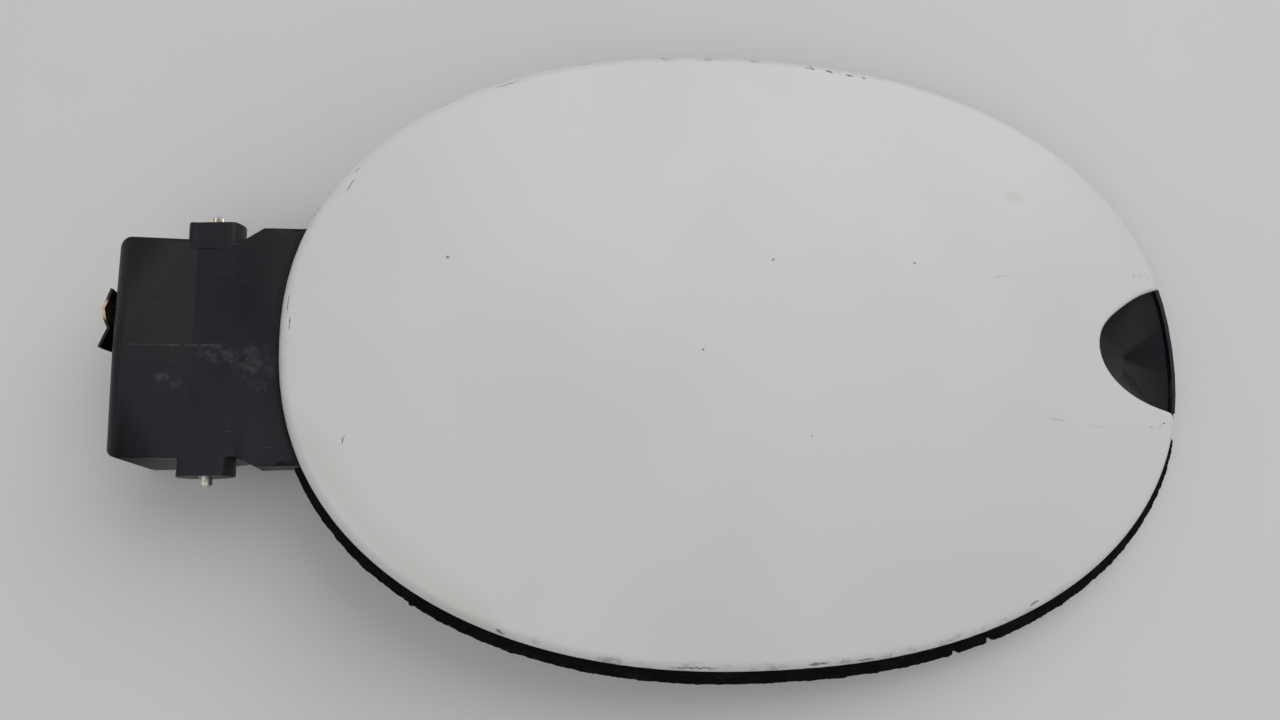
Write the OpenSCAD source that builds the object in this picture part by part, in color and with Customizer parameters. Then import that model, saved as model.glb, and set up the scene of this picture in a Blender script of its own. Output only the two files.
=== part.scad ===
// Oval car fuel door with its gooseneck hinge arm, lying face up as it comes to rest.
// Everything is drawn in the door's own frame and then laid on the ground by lay():
// X runs from the hinge to the finger notch, Y along the hinge rod, Z out of the painted face.
// Heights in that frame count from the bottom of the rolled edge's crown, where the dome ends.

/* [Painted panel] */
// Length of the oval, along X
panel_l = 230; // [200:1:260]
// Height of the oval, along Y
panel_w = 154.6; // [140:0.2:180]
// Power of the oval: 2 is an ellipse, more is blunter
oval_power = 2.23; // [2.05:0.01:2.5]
// Rise of the dome from its edge to its middle
crown = 6.5; // [4:0.5:9]
// Wall of the painted panel
panel_t = 2.2; // [1.6:0.1:3]
// Radius of the rolled edge
edge_roll = 2.4; // [2:0.1:3.5]
// Depth of the panel's edge below its widest line
edge_drop = 1.8; // [1:0.1:3]

/* [Finger notch] */
// Depth of the notch from the end of the oval
notch_depth = 24.2; // [20:0.2:27]
// Half width of the oval bite that makes the notch
notch_half_w = 18; // [15:0.5:20]
// Half length of the bite, along X
notch_half_l = 32; // [28:0.5:36]
// Place of the notch along the rim, from the middle line
notch_y = -0.4; // [-2:0.1:2]
// Depth of the scoop's floor below the edge line
scoop_depth = 10.2; // [8:0.2:12]
// Radius of the scoop's round floor
scoop_floor_r = 9.5; // [7:0.5:11]
// Distance from the oval's end to the middle of the scoop's floor
scoop_floor_in = 17.8; // [16:0.2:22]
// Thickness of the scoop's edge across the notch
scoop_lip = 1.1; // [0.8:0.1:1.6]
// Wall of the scoop
scoop_t = 1.8; // [1.2:0.1:2.4]
// How far the scoop reaches under the painted edge
scoop_reach = 3; // [2:0.5:5]

/* [Carrier] */
// Thickness of the carrier's plate
plate_t = 2.2; // [1.6:0.1:3]
// Gap between the carrier and the panel's edge
carrier_gap = 0.4; // [0.2:0.1:1]
// Thickness of the carrier's rim wall
rim_t = 2; // [1.4:0.1:3]
// Height of the rim wall below the plate
rim_h = 5.6; // [4:0.2:9]
// Thickness of the stiffening ribs
rib_t = 1.6; // [1.2:0.1:2.4]
// Height of the ribs below the plate
rib_h = 3.6; // [2:0.2:6]
// Spacing of the ribs both ways
rib_step = 24; // [20:1:28]

/* [Edge seal] */
// How far the foam seal stands out past the painted edge
seal_out = 3.7; // [2:0.1:6]
// How far the seal's outer edge sits towards the notch
seal_shift = 1.8; // [0:0.1:2]
// Height of the seal
seal_h = 5.4; // [4:0.2:8]
// Height of the seal's blunt outer edge
seal_edge = 1.7; // [1:0.1:3]

/* [Hinge arm] */
// Width of the arm at its tail, along the rod
arm_w = 51.6; // [44:0.2:60]
// Width of the arm beside the panel
neck_w = 56.6; // [54:0.2:66]
// Place of the arm along the rod, from the panel's middle line
arm_y = 1; // [-2:0.1:2]
// Distance from the oval's end to the rod's axis
rod_reach = 16.8; // [14:0.2:24]
// Depth of the rod's axis below the edge line
rod_drop = 14; // [12:0.5:20]
// Distance from the rod's axis to the arm's tail
tail_reach = 21; // [18:0.5:28]
// Depth of the tail below the edge line
tail_drop = 40; // [32:1:50]
// Depth of the arm's top face beside the panel
neck_drop = 7; // [6:0.2:9]
// How much lower the top face is at its valley beside the rod
valley_drop = 2.6; // [1:0.2:5]
// Distance of the valley from the rod's axis, towards the tail
valley_back = 3.6; // [2:0.2:6]
// Radius of the fillet where the arm meets the panel's edge
neck_fillet = 2.8; // [1.5:0.1:4]
// How much the top face rises again towards the tail
tail_rise = 1; // [0:0.2:2]
// Slope of the top face down from its middle line, in degrees
roof = 2.6; // [1:0.1:5]
// Wall of the arm
arm_t = 2.2; // [1.6:0.1:3]
// Radius of the tail's rounded edges
tail_r = 3.2; // [2:0.2:5]
// Length of the tail's flat foot, from the back of the arm
tail_foot = 9; // [7:0.5:14]
// Outer radius of the rod's bosses
boss_r = 6.4; // [5:0.1:8]
// How far each boss stands out of the arm's side
boss_out = 4.2; // [3:0.1:7]

/* [Hinge rod] */
// Radius of the rod in its bores
rod_r = 1.7; // [1.2:0.05:2.5]
// Radial running clearance of the rod
rod_clearance = 0.05; // [0.02:0.01:0.1]
// Length of each free end
rod_end = 2.4; // [1.6:0.1:5]
// Radius of the polished free end, at the right cheek
rod_end_r = 1.5; // [1:0.05:2.2]
// Radius of the serrated free end, at the left cheek
serrated_r = 1.3; // [1:0.05:2.2]
// Chamfer at the rod's tips
rod_chamfer = 0.4; // [0.2:0.05:0.6]

/* [Leaf spring] */
// Thickness of the spring strip
spring_t = 0.6; // [0.4:0.1:1]
// Width of the spring strip
spring_w = 14; // [8:0.5:18]
// Place of the strip's middle along the rod
spring_y = 7; // [0:0.2:12]
// How far the strip's bow stands off the tail
spring_bow = 2.2; // [1:0.1:4]
// Radius of the rivets' shanks
rivet_r = 1.2; // [0.8:0.1:1.8]
// Distance between the rivets
rivet_step = 8; // [6:0.5:9]

/* [Buffers] */
// Radius of the rubber buffers
buffer_r = 5; // [3:0.5:7]
// Height of the buffers below the plate
buffer_h = 8; // [6:0.5:10]
// Radius of the buffers' stems
stem_r = 2.4; // [1.5:0.1:3]
// Place of the buffers along X
buffer_x = 60; // [55:1:65]
// Place of the buffers each side of the middle
buffer_y = 48; // [46:1:50]

/* [Hidden] */
$fn = 48;

// Small clearance between parts that are glued or seated face to face
seat = 0.05;
// Length that cutters run past what they cut
past = 1;
// Number of points round the oval
oval_points = 96;

a = panel_l / 2;
b = panel_w / 2;

// The panel's edge
edge_z = -edge_roll + 0.2;
lip_z = edge_z - edge_drop;

// The carrier under it
plate_top = lip_z + 0.8;
plate_bottom = plate_top - plate_t;
carrier_inset = panel_t + carrier_gap;
rim_bottom = plate_bottom - rim_h;

// The arm
rod_x = -a - rod_reach;
rod_z = -rod_drop;
tail_x = rod_x - tail_reach;
tail_z = -tail_drop;
valley_x = rod_x - valley_back;
valley_z = -neck_drop - valley_drop;
boss_span = arm_w / 2 + boss_out;
bore_r = rod_r + rod_clearance;

// The notch and its scoop
floor_x = a - scoop_floor_in;
scoop_top = edge_z - 0.2;
scoop_bottom = -scoop_depth - scoop_t;

// The spring and its rivets on the tail
rivet_z = tail_z + 9;
rivet_head = 1.2;

// How the door lies: the tail's foot and the lowest part of the far end touch the ground
foot_x = tail_x + tail_foot;
far_feet = [[a - carrier_inset, rim_bottom], [floor_x + scoop_floor_r + scoop_t, scoop_bottom],
            [a + seal_out + seal_shift, lip_z - seat - seal_h]];
tilt = min([for (p = far_feet) atan((p.y - tail_z) / (p.x - foot_x))]);
ground = -foot_x * sin(tilt) + tail_z * cos(tilt);
far_x = (a + seal_out + seal_shift) * cos(tilt) + (lip_z - seat - seal_h + seal_edge) * sin(tilt);
near_x = (tail_x - spring_t - 3 * seat - rivet_head) * cos(tilt) + rivet_z * sin(tilt);

// Points of the oval with half axes p and q
function oval(p, q, n = oval_points) = [for (i = [0:n - 1])
    let (t = 360 * i / n, c = cos(t), s = sin(t))
    [sign(c) * p * pow(abs(c), 2 / oval_power), sign(s) * q * pow(abs(s), 2 / oval_power)]];

// Height of the dome's outer face at a share s of the way from the middle to the edge
function dome(s) = crown * (1 - s * s);

// Points of an arc about a centre
function arc(centre, r, from, to, n = 6) = [for (i = [0:n])
    let (t = from + (to - from) * i / n) centre + r * [cos(t), sin(t)]];

// One ring [half axis along X, half axis along Y, height, place along X], given by its inset from the edge
function inset_ring(inset, z, x = 0) = [a - inset, b - inset, z, x];

// One ring given by its share of the oval
function share_ring(s, z) = [a * s, b * s, z, 0];

function ring_points(rings) = [for (r = rings) for (p = oval(r[0], r[1])) [p.x + r[3], p.y, r[2]]];

// Skin between two neighbouring rings of n points that start at points i and j
function band(i, j, n) = [for (k = [0:n - 1]) each let (m = (k + 1) % n)
    [[i + k, i + m, j + m], [i + k, j + m, j + k]]];

// Closed cap: rings run from the top middle outwards, round the edge and back underneath
module oval_cap(rings, top_z, bottom_z) {
    n = oval_points;
    last = len(rings) - 1;
    top = len(rings) * n;
    points = concat(ring_points(rings), [[0, 0, top_z], [0, 0, bottom_z]]);
    faces = concat(
        [for (k = [0:n - 1]) [top, (k + 1) % n, k]],
        [for (i = [0:last - 1]) each band(i * n, (i + 1) * n, n)],
        [for (k = [0:n - 1]) [top + 1, last * n + k, last * n + (k + 1) % n]]);
    polyhedron(points, faces);
}

// Closed ring: the rings go once round its section, outwards over the top
module oval_ring(rings) {
    n = oval_points;
    count = len(rings);
    polyhedron(ring_points(rings), [for (i = [0:count - 1]) each band(i * n, ((i + 1) % count) * n, n)]);
}

module oval_slab(inset, z0, z1) {
    translate([0, 0, z0]) linear_extrude(z1 - z0) polygon(oval(a - inset, b - inset));
}

// Turns a profile drawn in X and Z into a plate from y0 to y1
module side_plate(y0, y1) {
    translate([0, y1, 0]) rotate([90, 0, 0]) linear_extrude(y1 - y0) children();
}

// Puts the door on the ground with the middle of its box over the origin
module lay() {
    translate([-(far_x + near_x) / 2, 0, -ground]) rotate([0, tilt, 0]) children();
}

// Plan of the notch: an oval bite out of the end of the panel
module notch_plan(grow = 0) {
    x = a - notch_depth + notch_half_l;
    polygon([for (t = [0:5:355]) [x + (notch_half_l + grow) * cos(t), notch_y + (notch_half_w + grow) * sin(t)]]);
}

// Space of the scoop, or its outer skin when grown by its wall: from the rim down to a round floor
module scoop_form(grow) {
    hull() {
        translate([0, 0, scoop_top - 0.1]) linear_extrude(0.1) intersection() {
            polygon(oval(a - 0.3 - scoop_lip + grow, b - 0.3 - scoop_lip + grow));
            notch_plan(scoop_reach + grow);
        }
        translate([floor_x, notch_y, -scoop_depth - grow])
            cylinder(r = scoop_floor_r + grow, h = 0.1, $fn = 32);
    }
}

// Wall of the scoop: it fills the notch out to the rim, and elsewhere stays inside the panel's edge
module scoop_wall() {
    intersection() {
        scoop_form(scoop_t);
        union() {
            oval_slab(carrier_inset, scoop_bottom - past, scoop_top);
            intersection() {
                oval_slab(0.3, scoop_bottom - past, scoop_top);
                translate([0, 0, scoop_bottom - past]) linear_extrude(40) notch_plan(-seat);
            }
        }
    }
}

// Painted cover: a domed oval with a rolled edge, cut out for the finger
module outer_panel() {
    dome_steps = [0.2, 0.4, 0.6, 0.75, 0.87, 0.94];
    roll = [for (t = [0:22.5:90]) [edge_roll * (1 - sin(t)), edge_z + edge_roll * cos(t)]];
    outer = concat(
        [for (s = dome_steps) share_ring(s, dome(s))],
        [for (p = roll) inset_ring(p[0], p[1])],
        [inset_ring(0, lip_z)]);
    inner = concat(
        [inset_ring(panel_t, lip_z), inset_ring(panel_t, edge_z - 0.2), inset_ring(panel_t + 0.8, edge_z + 0.2)],
        [for (i = [len(dome_steps) - 1:-1:0]) share_ring(dome_steps[i], dome(dome_steps[i]) - panel_t)]);
    color("whitesmoke") difference() {
        oval_cap(concat(outer, inner), crown, crown - panel_t);
        translate([0, 0, lip_z - past]) linear_extrude(crown + 10) notch_plan();
    }
}

// Side profile of the arm, from the panel out to the tail and back underneath
function arm_profile() = concat(
    [[-a + 24, plate_bottom + 0.4], [-a + 3, lip_z - seat]],
    arc([-a - 0.4 - neck_fillet, lip_z - seat], neck_fillet, 0, -90),
    [[rod_x + 5, -neck_drop - valley_drop * 0.5], [valley_x, valley_z]],
    arc([tail_x + tail_r, valley_z + tail_rise - tail_r], tail_r, 90, 180),
    arc([tail_x + tail_r, tail_z + tail_r], tail_r, 180, 270),
    [[foot_x, tail_z]],
    arc([foot_x + 2, tail_z + 26], 22, -60, -12),
    [[-a + 12, -14.5], [-a + 30, -11.5], [-a + 36, plate_bottom + 0.4]]);

// Inside of the arm, open below
function arm_hollow() = [
    [-a + 8, -neck_drop - arm_t], [rod_x + 5, -neck_drop - valley_drop * 0.5 - arm_t],
    [valley_x, valley_z - arm_t], [tail_x + arm_t, valley_z + tail_rise - arm_t],
    [tail_x + arm_t, tail_z - past], [-a + 8, tail_z - past]];

// Plan of the arm, set in by a wall: round tail corners and a wider neck beside the panel
function arm_outline(inset) = let (
    h = arm_w / 2 - inset,
    k = neck_w / 2 - inset,
    r = max(tail_r - inset, 0.4),
    x = tail_x + inset) concat(
    [[-a + 40, -k], [-a + 40, k], [rod_x + boss_r + 5, k], [rod_x + boss_r + 1, h]],
    arc([x + r, h - r], r, 90, 180),
    arc([x + r, -h + r], r, 180, 270),
    [[rod_x + boss_r + 1, -h], [rod_x + boss_r + 5, -k]]);

// A profile pulled both ways along Y inside the arm's plan, each half sloping down by the roof angle
module roofed(profile, inset) {
    for (side = [-1, 1]) intersection() {
        rotate([-side * roof, 0, 0]) side_plate(-neck_w, neck_w) polygon(profile);
        translate([tail_x - 20, side > 0 ? 0 : -neck_w, tail_z - past]) cube([120, neck_w, -tail_z + 20]);
        translate([0, 0, tail_z - (inset > 0 ? past : 0)]) linear_extrude(-tail_z) polygon(arm_outline(inset));
    }
}

// Hollow hinge arm with its middle web, its bosses and the bores for rod and rivets
module gooseneck() {
    difference() {
        union() {
            difference() {
                roofed(arm_profile(), 0);
                roofed(arm_hollow(), arm_t);
            }
            intersection() {
                side_plate(-rib_t / 2, rib_t / 2) polygon(arm_profile());
                translate([tail_x + arm_t / 2, -rib_t, tail_z + 3]) cube([60, 2 * rib_t, -tail_z]);
            }
            for (side = [-1, 1]) translate([rod_x, side > 0 ? boss_span : -arm_w / 2 + arm_t, rod_z])
                rotate([90, 0, 0]) cylinder(r = boss_r, h = boss_out + arm_t);
        }
        translate([rod_x, boss_span + past, rod_z]) rotate([90, 0, 0])
            cylinder(r = bore_r, h = 2 * boss_span + 2 * past);
        for (side = [-1, 1]) translate([tail_x - past, spring_y + side * rivet_step / 2, rivet_z])
            rotate([0, 90, 0]) cylinder(r = rivet_r + seat, h = arm_t + 2 * past);
    }
}

// Moulded carrier: plate, rim wall, ribs, finger scoop, cap rest and the gooseneck in one piece
module inner_carrier() {
    color([0.1, 0.1, 0.11]) {
        difference() {
            union() {
                oval_slab(carrier_inset, plate_bottom, plate_top);
                difference() {
                    oval_slab(carrier_inset, rim_bottom, plate_top);
                    oval_slab(carrier_inset + rim_t, rim_bottom - past, plate_top + past);
                }
                ribs();
                scoop_wall();
                scoop_rim();
            }
            scoop_form(0);
            stem_holes();
            // The rim wall is open where the arm leaves the carrier
            translate([-a - 4, arm_y - arm_w / 2 + arm_t, rim_bottom - past])
                cube([12, arm_w - 2 * arm_t, plate_bottom - rim_bottom + past]);
        }
        translate([0, arm_y, 0]) gooseneck();
        cap_rest();
    }
}

// Ribs in a square grid, trimmed to the inside of the rim wall and cleared round the buffers
module ribs() {
    across = floor(a / rib_step);
    along = floor(b / rib_step);
    difference() {
        intersection() {
            oval_slab(carrier_inset + rim_t / 2, plate_bottom - rib_h, plate_bottom + 0.2);
            union() {
                for (i = [-across:across]) translate([i * rib_step - rib_t / 2, -b, plate_bottom - rib_h])
                    cube([rib_t, 2 * b, rib_h + 0.2]);
                for (j = [-along:along]) translate([-a, j * rib_step - rib_t / 2, plate_bottom - rib_h])
                    cube([2 * a, rib_t, rib_h + 0.2]);
            }
        }
        for (side = [-1, 1]) translate([buffer_x, side * buffer_y, plate_bottom - rib_h - past])
            cylinder(r = buffer_r + 0.5, h = rib_h + past);
    }
}

// Edge of the scoop that carries on the oval across the notch
module scoop_rim() {
    intersection() {
        difference() {
            oval_slab(0.3, lip_z, edge_z + edge_roll / 2);
            oval_slab(0.3 + scoop_lip, lip_z - past, edge_z + edge_roll);
        }
        translate([a - notch_depth, -b, lip_z - past]) cube([a, 2 * b, 20]);
        translate([0, 0, lip_z - past]) linear_extrude(20) notch_plan(-seat);
    }
}

module stem_holes() {
    for (side = [-1, 1]) translate([buffer_x, side * buffer_y, plate_bottom - past])
        cylinder(r = stem_r + seat, h = plate_t + 2 * past);
}

// Two hooked prongs that hold the filler cap while the tank is filled
module cap_rest() {
    prong_h = 9;
    gap = 18;
    for (side = [0, 1]) mirror([side, 0, 0]) side_plate(-6, 6) polygon([
        [gap / 2, plate_bottom + 0.4], [gap / 2, plate_bottom - prong_h + 3],
        [gap / 2 - 2, plate_bottom - prong_h + 2], [gap / 2 + 0.5, plate_bottom - prong_h],
        [gap / 2 + 1.8, plate_bottom - prong_h + 1.6], [gap / 2 + 2.4, plate_bottom + 0.4]]);
}

// Foam strip round the rim wall, standing out past the painted edge
module edge_seal() {
    top = lip_z - seat;
    inner = carrier_inset - seat;
    rings = [inset_ring(inner, top), inset_ring(0.3, top),
             inset_ring(-seal_out, top - seal_h + seal_edge, seal_shift),
             inset_ring(-seal_out + 0.3, top - seal_h, seal_shift), inset_ring(inner, top - seal_h)];
    color([0.07, 0.07, 0.07]) difference() {
        oval_ring(rings);
        translate([-a - 20, arm_y - neck_w / 2 - 0.4, top - 20]) cube([60, neck_w + 0.8, 40]);
        scoop_form(scoop_t + 2 * seat);
    }
}

// Bead of adhesive between the carrier's plate and the panel
module adhesive_bead() {
    low = plate_top + seat;
    rings = [share_ring(0.84, low), share_ring(0.84, dome(0.84) - panel_t - seat),
             share_ring(0.89, dome(0.89) - panel_t - 3 * seat), share_ring(0.89, low)];
    color("dimgray") difference() {
        oval_ring(rings);
        translate([a, notch_y, low - past]) cylinder(r = notch_depth + scoop_reach + 6, h = 20);
    }
}

// Steel rod with two turned-down free ends
module hinge_rod() {
    tip = boss_span + rod_end;
    color("silver") translate([rod_x, arm_y, rod_z]) rotate([-90, 0, 0]) rotate_extrude() polygon([
        [0, -tip], [rod_end_r - rod_chamfer, -tip], [rod_end_r, -tip + rod_chamfer], [rod_end_r, -boss_span],
        [rod_r, -boss_span], [rod_r, boss_span], [serrated_r, boss_span],
        [serrated_r, tip - rod_chamfer], [serrated_r - rod_chamfer, tip], [0, tip]]);
}

// Path of the spring strip up the back of the tail, given by its face nearest the arm
function spring_path() = concat(
    [[tail_x - seat, tail_z + 4], [tail_x - seat, rivet_z + 4]],
    [for (t = [15:15:180]) [tail_x - seat - spring_bow * (1 - cos(t)) / 2, rivet_z + 4 + 14 * t / 180]]);

module leaf_spring() {
    path = spring_path();
    back = [for (i = [len(path) - 1:-1:0]) [path[i].x - spring_t, path[i].y]];
    color("darkgoldenrod") translate([0, arm_y, 0]) difference() {
        side_plate(spring_y - spring_w / 2, spring_y + spring_w / 2) polygon(concat(path, back));
        for (side = [-1, 1]) translate([tail_x - 10, spring_y + side * rivet_step / 2, rivet_z])
            rotate([0, 90, 0]) cylinder(r = rivet_r + seat, h = 20);
    }
}

// Rivets that hold the spring to the tail
module spring_rivets() {
    under = -spring_t - 3 * seat;
    color("gray") for (side = [-1, 1]) translate([tail_x, arm_y + spring_y + side * rivet_step / 2, rivet_z])
        rotate([0, 90, 0]) rotate_extrude() polygon([
            [0, under - rivet_head], [rivet_r, under - 0.9 * rivet_head], [1.8 * rivet_r, under],
            [rivet_r, under], [rivet_r, arm_t + seat], [1.7 * rivet_r, arm_t + seat],
            [1.3 * rivet_r, arm_t + 0.8], [0, arm_t + 1]]);
}

// Rubber buffers pulled through the plate by their stems
module bump_stops() {
    for (side = [-1, 1]) color([0.12, 0.12, 0.12]) translate([buffer_x, side * buffer_y, 0])
        rotate_extrude() polygon([
            [0, plate_bottom - buffer_h], [buffer_r - 1.6, plate_bottom - buffer_h],
            [buffer_r, plate_bottom - buffer_h + 2], [buffer_r, plate_bottom - seat],
            [stem_r, plate_bottom - seat], [stem_r, plate_top + seat], [stem_r + 1, plate_top + seat],
            [stem_r + 0.6, plate_top + 1.2], [0, plate_top + 1.6]]);
}

lay() outer_panel();
lay() inner_carrier();
lay() edge_seal();
lay() adhesive_bead();
lay() hinge_rod();
lay() leaf_spring();
lay() spring_rivets();
lay() bump_stops();
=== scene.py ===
# %% [markdown]
# # An oval car fuel door, lying face up
# The door is a white painted cover on a black moulded carrier. A hollow gooseneck arm reaches from the
# carrier to a steel hinge rod, and a foam strip seals the rim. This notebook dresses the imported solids:
# the cover, seal, rod and spring get finer shapes, and every piece gets a finish made of shader nodes.

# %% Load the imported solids
import bpy
import bmesh
import math
from mathutils import Matrix, Vector, kdtree, noise


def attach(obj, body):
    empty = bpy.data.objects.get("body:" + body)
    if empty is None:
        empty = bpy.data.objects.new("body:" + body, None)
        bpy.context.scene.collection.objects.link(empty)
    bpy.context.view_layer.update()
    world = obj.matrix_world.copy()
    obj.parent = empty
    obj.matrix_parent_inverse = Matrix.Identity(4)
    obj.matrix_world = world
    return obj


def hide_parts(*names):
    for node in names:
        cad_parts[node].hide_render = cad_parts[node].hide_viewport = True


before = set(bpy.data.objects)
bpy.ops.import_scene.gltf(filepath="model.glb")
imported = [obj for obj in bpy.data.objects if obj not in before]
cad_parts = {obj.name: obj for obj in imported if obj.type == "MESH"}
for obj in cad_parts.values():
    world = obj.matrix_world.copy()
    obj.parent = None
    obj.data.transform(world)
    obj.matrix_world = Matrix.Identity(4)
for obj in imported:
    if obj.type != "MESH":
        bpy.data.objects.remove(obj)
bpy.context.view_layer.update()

# %% [markdown]
# ## The door's own frame
# Shapes are easiest to think of as the maker drew them: X from hinge to finger notch, Y along the hinge
# rod, Z out of the painted face, in millimetres. The loose door leans on its deep arm, so at the end each
# mesh is tilted and lifted onto the ground by one matrix, and its object stays at the origin.

# %% Sizes and the matrix that lays a mesh on the ground
MM = 0.001
TILT = math.radians(6.332715)          # lean of the loose door
SHIFT, LIFT = 19.1576, 23.8945         # mm, puts the box over the origin and on the ground
LAY = (Matrix.Translation((SHIFT * MM, 0, LIFT * MM)) @ Matrix.Rotation(TILT, 4, "Y")
       @ Matrix.Scale(MM, 4))

HALF_L, HALF_W, OVAL_POWER = 115.0, 77.3, 2.23   # the oval cover
CROWN, EDGE_ROLL, LIP_Z, COVER_T = 6.5, 2.4, -4.0, 2.2
EDGE_DEPTH = 1.2                                 # least height of the painted edge above its lip
NOTCH = (122.8, -0.4, 32.0, 18.0)                # middle x, y and half axes of the finger notch
LIP_ROLL = 1.0                                   # radius of the notch's edge
ARM_Y, ROD_X, ROD_Z = 1.0, -131.8, -14.0
TAIL_X, TAIL_Z = -152.8, -40.0


def clear_selection():
    """Leaves edit mode with nothing selected, since operators act on all that is selected."""
    if bpy.context.object and bpy.context.object.mode == "EDIT":
        bpy.ops.object.mode_set(mode="OBJECT")
    bpy.ops.object.select_all(action="DESELECT")


def take(piece):
    """Makes one object the selected and active one."""
    clear_selection()
    piece.select_set(True)
    bpy.context.view_layer.objects.active = piece


def edit_mesh(piece):
    """Opens a piece in edit mode and gives its editable mesh, with nothing selected."""
    take(piece)
    bpy.ops.object.mode_set(mode="EDIT")
    bpy.ops.mesh.select_all(action="DESELECT")
    return bmesh.from_edit_mesh(piece.data)


def settle(piece, name, body, nodes, material, angle=35.0):
    """Names a finished piece, lays it on the ground, dresses it, hangs it on its body and hides the solids
    it stands for.
    """
    take(piece)
    piece.name = piece.data.name = name
    piece.matrix_world = LAY
    bpy.ops.object.transform_apply(location=True, rotation=True, scale=True)
    bpy.ops.object.mode_set(mode="EDIT")
    bpy.ops.mesh.select_all(action="SELECT")
    bpy.ops.mesh.normals_make_consistent(inside=False)
    bpy.ops.object.mode_set(mode="OBJECT")
    bpy.ops.object.shade_smooth_by_angle(angle=math.radians(angle))
    piece.data.materials.clear()
    piece.data.materials.append(material)
    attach(piece, body)
    if nodes:
        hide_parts(*nodes)
    print(name, len(piece.data.polygons), "faces")


def apply_modifiers(piece):
    """Applies every modifier of a piece, first to last."""
    take(piece)
    for modifier in list(piece.modifiers):
        bpy.ops.object.modifier_apply(modifier=modifier.name)


# %% [markdown]
# ## Nodes for the finishes
# Every finish is built from shader nodes, so two helpers do all the work: one turns an sRGB hex value to
# the linear colour that the shader wants, and one adds a node with its settings and links. Patterns are
# placed in the door's own millimetres, which a Mapping node gets back from the object's coordinates.

# %% Helpers for shader nodes
def hex_colour(code):
    """Linear colour of an sRGB hex value."""
    parts = [int(code[i:i + 2], 16) / 255 for i in (1, 3, 5)]
    return tuple(p / 12.92 if p <= 0.04045 else ((p + 0.055) / 1.055) ** 2.4 for p in parts) + (1.0,)


def add(tree, kind, inputs=(), **settings):
    """Adds a node; an input is given a value, or linked when it is another node's output."""
    made = tree.nodes.new("ShaderNode" + kind)
    for key, value in settings.items():
        setattr(made, key, value)
    for key, value in dict(inputs).items():
        if isinstance(value, bpy.types.NodeSocket):
            tree.links.new(value, made.inputs[key])
        else:
            made.inputs[key].default_value = value
    return made


def new_finish(name):
    """A bare material: its node tree, its Principled shader and the door's own millimetres."""
    material = bpy.data.materials.new(name)
    material.use_nodes = True
    tree = material.node_tree
    tree.nodes.clear()
    shader = add(tree, "BsdfPrincipled")
    out = add(tree, "OutputMaterial")
    tree.links.new(shader.outputs[0], out.inputs[0])
    coords = add(tree, "TexCoord")
    door = add(tree, "Mapping", {0: coords.outputs["Object"], "Location": (SHIFT * MM, 0, LIFT * MM),
                                 "Rotation": (0, TILT, 0), "Scale": (MM, MM, MM)}, vector_type="TEXTURE")
    return material, tree, shader, door.outputs[0]


def grain(tree, place, size, detail=3.0, roughness=0.55):
    """Noise whose largest grains are about size mm across."""
    return add(tree, "TexNoise", {"Vector": place, "Scale": 1 / size, "Detail": detail,
                                  "Roughness": roughness}).outputs[0]


def ramp(tree, value, low, high, to_low=0.0, to_high=1.0):
    """Maps a value between two bounds, smoothly, to a new pair of bounds."""
    return add(tree, "MapRange", {0: value, 1: low, 2: high, 3: to_low, 4: to_high},
               interpolation_type="SMOOTHSTEP").outputs[0]


def maths(tree, operation, first, second=0.0):
    """One sum of two values, such as ADD or POWER."""
    return add(tree, "Math", {0: first, 1: second}, operation=operation).outputs[0]


def product(tree, first, second):
    return maths(tree, "MULTIPLY", first, second)


def blend(tree, share, first, second):
    """Mixes two colours by a share."""
    return add(tree, "Mix", {0: share, 6: first, 7: second}, data_type="RGBA").outputs[2]


def mark(tree, place, x, y, length, width, turn=0.0):
    """A soft-edged mark on the face, 1 in its middle: an oval of that length and width in mm."""
    local = add(tree, "Mapping", {0: place, "Location": (x, y, 0), "Rotation": (0, 0, math.radians(turn)),
                                  "Scale": (length / 2, width / 2, 1000.0)}, vector_type="TEXTURE")
    far = add(tree, "VectorMath", {0: local.outputs[0]}, operation="LENGTH")
    return ramp(tree, far.outputs["Value"], 0.55, 1.0, 1.0, 0.0)


def strongest(tree, marks):
    """The strongest of several marks at each point."""
    result = marks[0]
    for other in marks[1:]:
        result = maths(tree, "MAXIMUM", result, other)
    return result
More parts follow.
